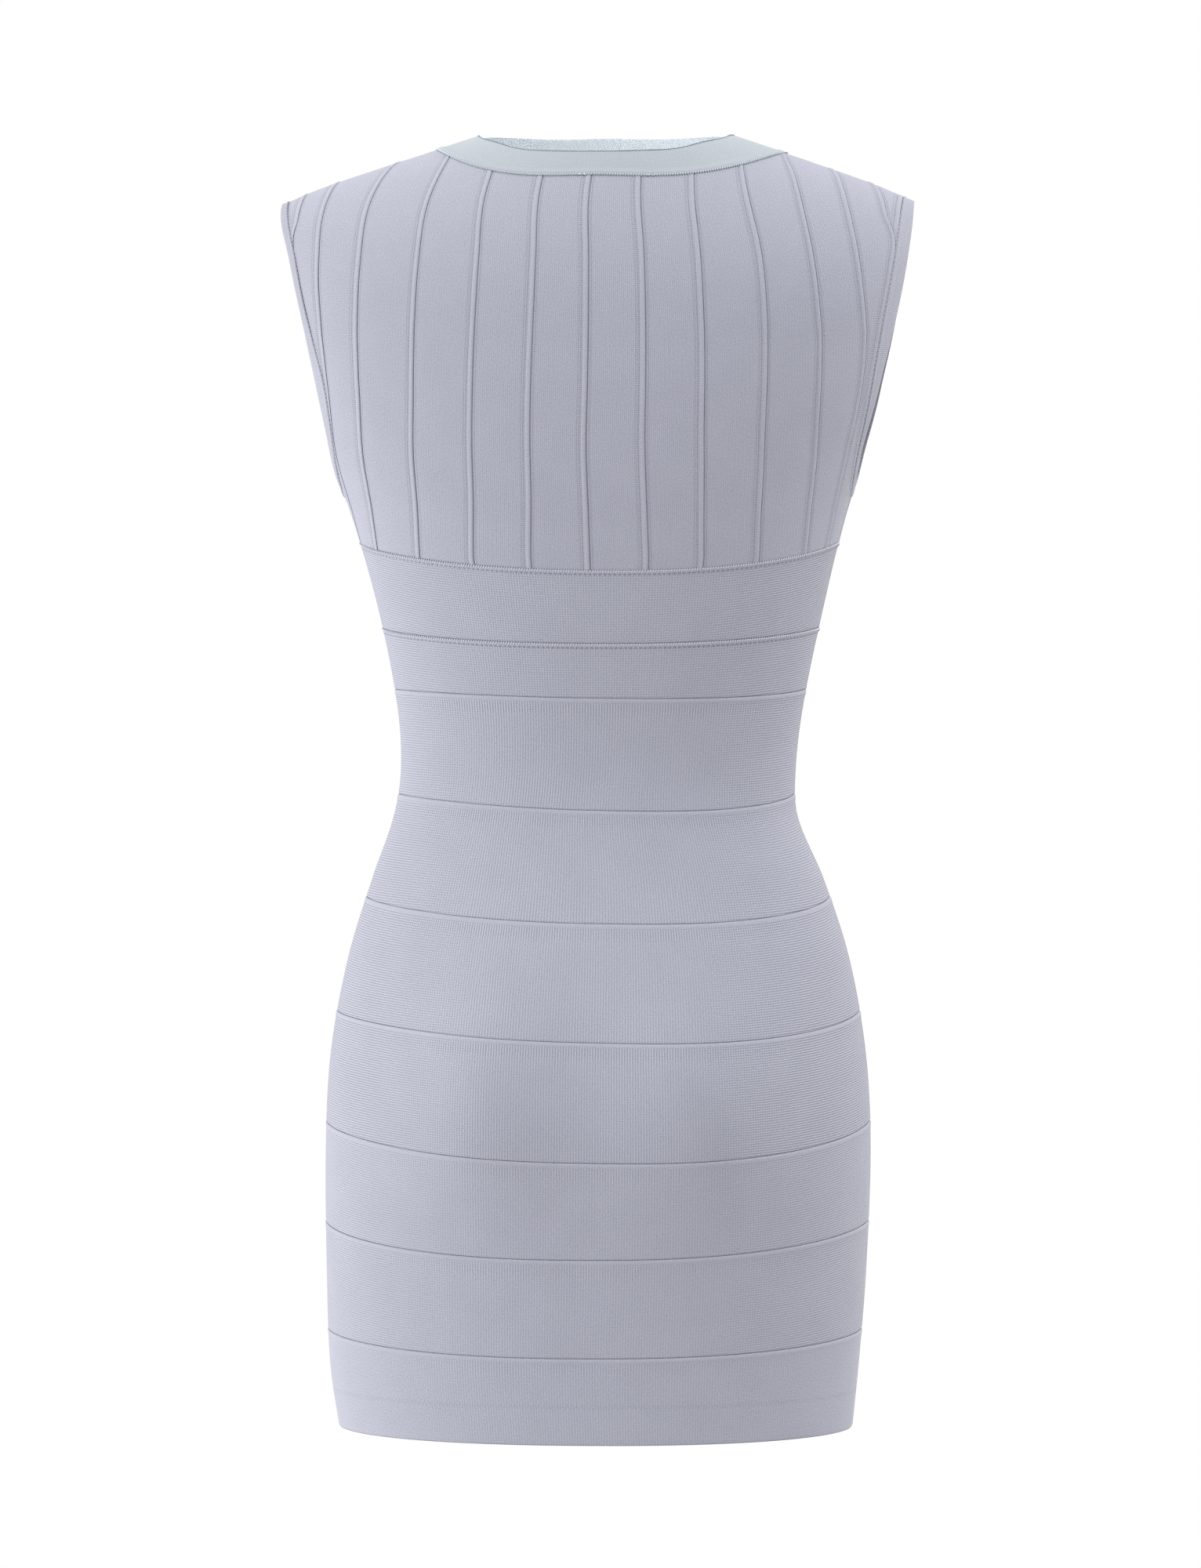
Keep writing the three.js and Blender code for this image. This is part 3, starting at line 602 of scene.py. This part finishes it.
# Dense rayon knit: a matt grey-lilac cloth whose fine wales and small holes beside the
# rolled edge give the eye a close, slightly grainy surface; the holes' darkness is painted shade.
strip_knit = knit_material(
    "rayon_bandage_knit_upright", "#a2a3af", "#565964", (COURSE_MM, STRIP_WALE_MM),
    (0.1, 0.15), (0.35, 0.3),
    eyelets=(("roll", 4.1, 1.0), ("roll", 5.9, 0.6), ("plain", 1.7, 0.7)))

ROW_STOPS = [station / BUST_STATION for station in ARMHOLE_STATIONS] + [1]
ROWS_BETWEEN = 5
ROWS_NEAR_TOP, ROWS_NEAR_FOOT = [0.0015, 0.005], [0.997, 0.999, 1]
EVEN_ROWS = [
    mix(ROW_STOPS[i], ROW_STOPS[i + 1], j / ROWS_BETWEEN)
    for i in range(len(ROW_STOPS) - 1)
    for j in range(ROWS_BETWEEN)
]
FINE_ROWS = EVEN_ROWS[:1] + ROWS_NEAR_TOP + EVEN_ROWS[1:] + ROWS_NEAR_FOOT
INNER_COLUMNS = 5
TIP_STRIPS = (1, 14)
TIP_STRIP_LAST_STATION = 0.57
ROW_PLACES = 17
LEAST_SPAN_MM = 1e-9
END_SHARE = 0.03
END_GAP_STATIONS = 0.0003


def strip_row_points(face, left, right, share):
    """Places across one row of a strip. Its ends follow the neckline and the bust seam."""
    (bearing_a, station_a), (bearing_b, station_b) = left(share), right(share)
    top_fade = max(1 - share / END_SHARE, 0)
    foot_fade = max(1 - (1 - share) / END_SHARE, 0)
    places = []
    for i in range(ROW_PLACES):
        across = i / (ROW_PLACES - 1)
        bearing = mix(bearing_a, bearing_b, across)
        station = mix(station_a, station_b, across)
        top_step = neck_station(NECK_SEAM, face, bearing) - mix(left(0)[1], right(0)[1], across)
        foot_step = bust_station(face, bearing) - mix(left(1)[1], right(1)[1], across)
        places.append((bearing, station + top_fade * top_step + foot_fade * foot_step))
    return places


def make_strip(face, number, left, right):
    name = f"{face}_strip_{number:02d}"
    reach = TIP_STRIP_LAST_STATION if number in TIP_STRIPS else BUST_STATION
    rows = [share * reach / BUST_STATION for share in FINE_ROWS]
    middle = ROW_PLACES // 2
    table = []
    down = 0.0
    for share in rows:
        places = strip_row_points(face, left, right, share)
        points = [yoke_point(face, *place) for place in places]
        lengths = [0.0]
        for a, b in zip(points, points[1:]):
            lengths.append(lengths[-1] + (b - a).length)
        if table:
            step = (points[middle] - table[-1]["points"][middle]).length
            down += step
        table.append({"places": places, "points": points, "lengths": lengths, "down": down})
    full_width = max(row["lengths"][-1] for row in table)
    stops_count = len(width_stops(full_width, INNER_COLUMNS)[0])

    def place(column, row):
        entry = table[row]
        width = entry["lengths"][-1]
        stops, squeeze = width_stops(width, INNER_COLUMNS)
        distance = stops[column]
        k = 0
        while k < ROW_PLACES - 2 and entry["lengths"][k + 1] < distance:
            k += 1
        span = entry["lengths"][k + 1] - entry["lengths"][k]
        share = (distance - entry["lengths"][k]) / span if span > LEAST_SPAN_MM else 0
        bearing = mix(entry["places"][k][0], entry["places"][k + 1][0], share)
        station = mix(entry["places"][k][1], entry["places"][k + 1][1], share)
        if row == 0:
            station += END_GAP_STATIONS
        if row == len(table) - 1:
            station -= END_GAP_STATIONS
        point = yoke_point(face, bearing, station)
        from_roll, from_plain = width - distance, distance
        rise = profile_height(STEEP_ROLL, from_roll / squeeze, from_plain / squeeze) * squeeze
        return point, rise, distance - width / 2, entry["down"], from_roll, from_plain

    bm = cloth_grid(stops_count - 1, len(rows) - 1, place)
    piece = new_piece(name + "_knit", bm, strip_knit, name)
    give_wall(piece)


for strip_face in ("back", "front"):
    strip_paths = yoke_paths(strip_face)
    for strip_number in range(1, len(strip_paths)):
        make_strip(strip_face, strip_number, strip_paths[strip_number - 1], strip_paths[strip_number])

# Horizontal bands from the bust to the hem. Each is a strip of the same knit sewn round
# the body, its rolled upper edge over the band above, with a seam at each side.
BAND_COLUMNS = 96
BAND_ROWS_INNER = 9
SIDE_SEAM_DEGREES = 0.08
# A strip of deeper wales lies this far below each seam.
MARKED_STRIP_MM = 7.5
# The same rayon knit turned level: ribs across it show round the flanks, wales behind.
band_knit = knit_material(
    "rayon_bandage_knit_level", "#a2a3af", "#565964", (COURSE_MM, WALE_MM),
    (0.15, 1.1), (0.5, 0.12), marked=MARKED_STRIP_MM)
# On the two bands below the seat the cloth is stretched less, and its ribs are fainter.
low_band_knit = knit_material(
    "rayon_bandage_knit_low", "#a2a3af", "#565964", (COURSE_MM, WALE_MM),
    (0.15, 0.7), (0.33, 0.12), marked=MARKED_STRIP_MM)
# Two bands are topstitched: a dashed line of dark dots lies under their upper edge.
stitched_band_knit = knit_material(
    "rayon_bandage_knit_topstitched", "#a2a3af", "#565964", (COURSE_MM, WALE_MM),
    (0.4, 1.0), (0.4, 0.12), topstitch=(2.6, 3.0, 0.45))
# The lowest band is hemmed: a faint zigzag of thread runs round it above the hem.
hem_band_knit = knit_material(
    "rayon_bandage_knit_hemmed", "#a2a3af", "#565964", (COURSE_MM, WALE_MM),
    (0.1, 0.18), (0.3, 0.1), marked=MARKED_STRIP_MM, zigzag=(24.0, 3.0, 1.0))
BAND_KNITS = [stitched_band_knit] * 2 + [band_knit] * 4 + [low_band_knit] * 2 + [hem_band_knit]
STITCHED_BANDS = (0, 1)
STITCHED_ROLL_SHARE = 0.6


def make_band(face, index):
    name = f"band_{index + 1}_{face}"
    bearings = [180 * i / BAND_COLUMNS for i in range(BAND_COLUMNS + 1)]
    drops = []
    middle = []
    for bearing in bearings:
        top = band_seam_height(index, face, bearing)
        bottom = band_seam_height(index + 1, face, bearing)
        stops = width_stops(top - bottom, BAND_ROWS_INNER)[0]
        drops.append((top, top - bottom, [top - bottom - stop for stop in reversed(stops)]))
        middle.append(body_point(face, bearing, mix(top, bottom, 0.5)))
    around = [0.0]
    for a, b in zip(middle, middle[1:]):
        around.append(around[-1] + (b - a).length)
    half = around[-1] / 2
    roll_share = STITCHED_ROLL_SHARE if index in STITCHED_BANDS else 1
    count = len(drops[0][2])
    start_down = BUST_SEAM_SIDE - BAND_SEAMS[index][1]

    def place(column, row):
        top, width, distances = drops[column]
        distance = distances[row]
        bearing = bearings[column]
        from_side = min(around[column], around[-1] - around[column])
        if from_side < SEAM_GAP / 2:
            bearing += SIDE_SEAM_DEGREES if column == 0 else -SIDE_SEAM_DEGREES
            from_side = SEAM_GAP / 2
        height = top - distance
        point = body_point(face, bearing, height)
        rise = profile_height(GENTLE_ROLL, distance / roll_share, width - distance)
        if from_side < PLAIN_STOPS[-1]:
            rise = min(rise, column_value(PLAIN_STOPS, PLAIN_HEIGHTS, from_side))
        return point, rise, around[column] - half, start_down + distance, distance, width - distance

    bm = cloth_grid(BAND_COLUMNS, count - 1, place)
    piece = new_piece(name + "_knit", bm, BAND_KNITS[index], name)
    give_wall(piece)


for band_face in ("back", "front"):
    for band_index in range(len(BAND_SEAMS) - 1):
        make_band(band_face, band_index)

# Neck binding. A folded band of paler, bluer knit all round the boat neck, with a
# rolled lower edge that is whip stitched over the tops of the vertical bands.
NECK_EDGE = {"left": 19.5, "right": 19.8, "back": 0.424, "front": 0.288}
# The front's upper edge runs straighter from the shoulders than an ellipse would.
NECK_EDGE_POWER = {"back": 1, "front": 1.7}
NECK_COLUMNS = 220
BINDING_SHARES = (0, 0.03, 0.07, 0.12, 0.17, 0.22, 0.3, 0.45, 0.6, 0.75, 0.88, 0.95, 1)
NECK_HEIGHTS = (-0.1, 0.55, 0.9, 0.95, 0.7, 0.35, 0.3, 0.35, 0.4, 0.4, 0.45, 0.4, 0.1)
BINDING_COURSE_MM, BINDING_RIB_MM = 1.2, 1.3
FOLD_RADIUS_MM, FOLD_SEGMENTS, FOLD_ANGLE = 0.5, 3, math.radians(50)
# Rib knit of paler, bluer yarn: a flat clean edge with faint lines along it.
binding_knit = knit_material(
    "ribbed_binding_knit", "#9fa4a9", "#666e76", (BINDING_COURSE_MM, BINDING_RIB_MM),
    (0.25, 0.25), (0.12, 0.12))
# Rib knit of the dress's own yarn: fine upright lines follow the armhole.
edge_knit = knit_material(
    "ribbed_armhole_knit", "#a5a6b1", "#5a5d69", (BINDING_COURSE_MM, BINDING_RIB_MM),
    (0.5, 0.5), (0.3, 0.3))
# Reverse of the pale rib knit. Light comes through the thin cloth from its other side, and its
# colour is painted paler still: painted light, so that the inside of the neck, which lies in shade, looks
# paler than its outside.
binding_reverse = knit_material(
    "reverse_of_binding_painted_pale", "#dce6ee", "#c4d1dc", (BINDING_COURSE_MM, BINDING_RIB_MM),
    (0.1, 0.1), (0.2, 0.2))
reverse_shader = binding_reverse.node_tree.nodes["Principled BSDF"]
reverse_shader.inputs["Subsurface Weight"].default_value = 1.0
reverse_shader.inputs["Subsurface Radius"].default_value = (1, 1, 1)
reverse_shader.inputs["Subsurface Scale"].default_value = 0.006


def neck_place(turn, share):
    face = "back" if turn <= math.pi else "front"
    across = math.cos(turn)
    side = "left" if across > 0 else "right"
    reach = mix(NECK_SEAM[side], NECK_EDGE[side], share)
    drop = mix(NECK_SEAM[face], NECK_EDGE[face], share)
    bearing = 90 - reach * across
    station = drop * abs(math.sin(turn)) ** mix(1, NECK_EDGE_POWER[face], share)
    return face, bearing, station


def binding_ring(name, node, columns, shares, heights, place_of, material, reverse=None):
    lengths = [0.0]
    points = [yoke_point(*place_of(i / columns, 0.5)) for i in range(columns + 1)]
    for a, b in zip(points, points[1:]):
        lengths.append(lengths[-1] + (b - a).length)
    widths = [(yoke_point(*place_of(i / columns, 1)) - yoke_point(*place_of(i / columns, 0))).length
              for i in range(columns)]
    # The cloth turns over each edge by half its thickness.
    flat_width = sum(widths) / columns + WALL

    def place(column, row):
        share = shares[row]
        face, bearing, station = place_of((column % columns) / columns, share)
        point = yoke_point(face, bearing, station)
        return point, heights[row], lengths[column], share * flat_width, flat_width, flat_width

    bm = cloth_grid(columns, len(shares) - 1, place, closed=True)
    piece = new_piece(name, bm, material, node)
    wall = give_wall(piece)
    if reverse:
        piece.data.materials.append(reverse)
        wall.material_offset = 1
        wall.material_offset_rim = 1
    fold = piece.modifiers.new("fold", "BEVEL")
    fold.width = FOLD_RADIUS_MM * MM
    fold.segments = FOLD_SEGMENTS
    fold.limit_method = "ANGLE"
    fold.angle_limit = FOLD_ANGLE


binding_ring("neck_binding_knit", "neck_binding", NECK_COLUMNS, BINDING_SHARES, NECK_HEIGHTS,
             lambda round_share, share: neck_place(round_share * math.tau, share), binding_knit,
             binding_reverse)

# Armhole bindings. A narrow ribbed band of the dress's own knit folded round each
# armhole, with a raised seam where it meets the vertical bands.
ARMHOLE_EDGE_STATIONS = (0, 0.2, 0.4, 0.6, 0.85, 1, 1.12, 1.24, 1.32, 1.37, 1.387)
ARMHOLE_EDGE = {
    "left": (16.4, 16.2, 16.6, 18.2, 19.1, 19.3, 19, 16.6, 12, 6, 0),
    "right": (16.1, 15.6, 15, 15.1, 14.8, 14.8, 14.8, 12, 9, 4.6, 0),
}
ARMHOLE_HEIGHTS = (-0.1, 0.4, 0.75, 0.8, 0.6, 0.35, 0.3, 0.4, 0.5, 0.55, 0.55, 0.45, 0.1)
ARMHOLE_COLUMNS = 160


def armhole_place(side, round_share, share):
    last = len(ARMHOLE_STATIONS) - 1
    around = round_share * 2
    face = "back" if around <= 1 else "front"
    row = last * (around if around <= 1 else 2 - around)
    rows = range(last + 1)
    bearing = mix(column_value(rows, ARMHOLE_SEAM[side], row),
                  column_value(rows, ARMHOLE_EDGE[side], row), share)
    station = mix(column_value(rows, ARMHOLE_STATIONS, row),
                  column_value(rows, ARMHOLE_EDGE_STATIONS, row), share)
    bearing = max(bearing, 0)
    bearing = bearing if side == "left" else 180 - bearing
    return face, bearing + front_scoop(face, side, max(station, 0)), max(station, 0)


for arm_side in ("left", "right"):
    binding_ring(f"armhole_binding_{arm_side}_knit", f"armhole_binding_{arm_side}", ARMHOLE_COLUMNS,
                 BINDING_SHARES, ARMHOLE_HEIGHTS,
                 lambda round_share, share, side=arm_side: armhole_place(side, round_share, share),
                 edge_knit)

# Stitches of yarn. Short slanting loops whip the lower edge of the neck binding and the
# upper edges of the first two horizontal bands. Flat stitches in yarn darkened with painted shade
# lie in line along the top edge of the binding behind the neck and along the seam of each armhole binding.
WHIP = {"pitch": 1.65, "half_size": (0.42, 1.15, 0.4), "slant": math.radians(35), "rise": 0.45}
NECK_WHIP = {**WHIP, "rise": 0.75}
EDGE_CORD = {"pitch": 1.9, "half_size": (0.4, 1.15, 0.4), "slant": math.radians(90), "rise": 0.5}
SEAM_DASH = {"pitch": 2.9, "half_size": (0.3, 0.95, 0.25), "slant": math.radians(90), "rise": 0.15}
PATH_STEPS = 360
PATH_NUDGE = 0.0005
# The twist of the yarn is drawn about 0.7 mm long.
TWIST_PER_METRE, TWIST_RISE_MM = 1500.0, 0.1


def yarn_material(name, colour):
    """Loose twisted yarn: a soft matt thread with a little unevenness."""
    material = bpy.data.materials.new(name)
    material.use_nodes = True
    tree = material.node_tree
    shader = tree.nodes["Principled BSDF"]
    shader.inputs["Base Color"].default_value = linear(colour)
    shader.inputs["Roughness"].default_value = 0.8
    shader.inputs["Specular IOR Level"].default_value = 0.2
    place = add_node(tree, "ShaderNodeTexCoord").outputs["Object"]
    twist = add_node(tree, "ShaderNodeTexNoise", {"Vector": place, "Scale": TWIST_PER_METRE})
    relief = {"Height": twist, "Distance": TWIST_RISE_MM * MM, "Strength": 0.4}
    bump = add_node(tree, "ShaderNodeBump", relief)
    tree.links.new(bump.outputs[0], shader.inputs["Normal"])
    return material


# The whipping yarns are painted paler than the cloth, a painted highlight for the bright bead along an
# edge, and the yarns in seams and along the fold are painted darker copies, painted shade for the dark
# line there.
stitch_yarn = yarn_material("rayon_yarn", "#aeafbb")
neck_yarn = yarn_material("pale_rayon_yarn", "#a9b0b6")
painted_shade_yarn = yarn_material("rayon_yarn_painted_shade", "#6d707d")
painted_shade_neck_yarn = yarn_material("pale_rayon_yarn_painted_shade", "#7b848c")


def even_shares(path, pitch):
    """Shares of the way along a path, one pitch apart."""
    points = [path(i / PATH_STEPS, 0) for i in range(PATH_STEPS + 1)]
    lengths = [0.0]
    for a, b in zip(points, points[1:]):
        lengths.append(lengths[-1] + (b - a).length)
    count = round(lengths[-1] / pitch)
    shares = []
    i = 0
    for number in range(count):
        at = lengths[-1] * number / count
        while lengths[i + 1] < at:
            i += 1
        shares.append((i + (at - lengths[i]) / (lengths[i + 1] - lengths[i])) / PATH_STEPS)
    return shares


def stitches(name, path, kind, material, loose_ends=()):
    """Loops laid along a path. path(share, aside) gives a point, aside in mm across it."""
    half_width, half_length, half_height = kind["half_size"]
    bm = bmesh.new()
    places = [(share, 1.0, kind["slant"]) for share in even_shares(path, kind["pitch"])]
    for share, long, slant in places + list(loose_ends):
        point = path(share, 0)
        along = (path(share + PATH_NUDGE, 0) - point).normalized()
        up = (path(share, 1) - point).normalized()
        out = along.cross(up).normalized()
        if out.dot(point - Vector((0, 0, min(point.z, INSIDE_HEIGHT_MM)))) < 0:
            out = -out
        axis = (up * math.cos(slant) + along * math.sin(slant)).normalized()
        side = out.cross(axis)
        turn = Matrix((side, axis, out)).transposed().to_4x4()
        size = Matrix.Diagonal((half_width * MM, half_length * long * MM, half_height * MM, 1))
        middle = Matrix.Translation((point + out * kind["rise"]) * MM)
        bmesh.ops.create_icosphere(bm, subdivisions=1, radius=1, matrix=middle @ turn @ size)
    return new_piece(name, bm, material, None)


# Shares of a binding's width: where its stitches lie, and a small step across it.
NECK_WHIP_SHARE, EDGE_CORD_SHARE, SEAM_DASH_SHARE = 0.02, 0.975, 0.03
STEP_ASIDE = 0.02


def neck_path(share, aside):
    return yoke_point(*neck_place(share % 1 * math.tau, NECK_WHIP_SHARE + aside * STEP_ASIDE))


# The top edge of the neck binding isn't quite even: it waves by half a millimetre.
EDGE_WAVE, EDGE_WAVES = 0.02, 11


def neck_edge_path(share, aside):
    turn = share * math.pi
    waved = EDGE_CORD_SHARE + EDGE_WAVE * math.sin(EDGE_WAVES * turn)
    return yoke_point(*neck_place(turn, waved + aside * STEP_ASIDE))


def armhole_seam_path(side):
    def path(share, aside):
        return yoke_point(*armhole_place(side, share % 1, SEAM_DASH_SHARE + aside * STEP_ASIDE))
    return path


BAND_STITCH_DROP = 0.45


def band_edge_path(index):
    def path(share, aside):
        around = share % 1 * 360
        face, bearing = ("back", around) if around <= 180 else ("front", 360 - around)
        height = band_seam_height(index, face, bearing) - BAND_STITCH_DROP + aside
        return body_point(face, bearing, height)
    return path


# A few ends of yarn were left lying along the seam behind the neck: place, length, slant.
YARN_ENDS = ((0.243, 1.5, 1.3), (0.246, 1.3, -0.4), (0.289, 1.6, 1.4), (0.294, 1.2, 1.0))
stitches("neck_whip_stitches", neck_path, NECK_WHIP, neck_yarn, YARN_ENDS)
# Painted shadow: this row of dark yarn along the top edge of the binding is the seam of its fold, darkened
# to stand for the shadow at the fold.
stitches("neck_edge_stitches", neck_edge_path, EDGE_CORD, painted_shade_neck_yarn)
for stitched_band in STITCHED_BANDS:
    stitches(f"band_{stitched_band + 1}_whip_stitches", band_edge_path(stitched_band), WHIP,
             stitch_yarn)
# Painted shade: the armhole seams are stitched in the darker yarn for the shade along each seam.
for arm_side in ("left", "right"):
    stitches(f"armhole_{arm_side}_seam_stitches", armhole_seam_path(arm_side), SEAM_DASH,
             painted_shade_yarn)
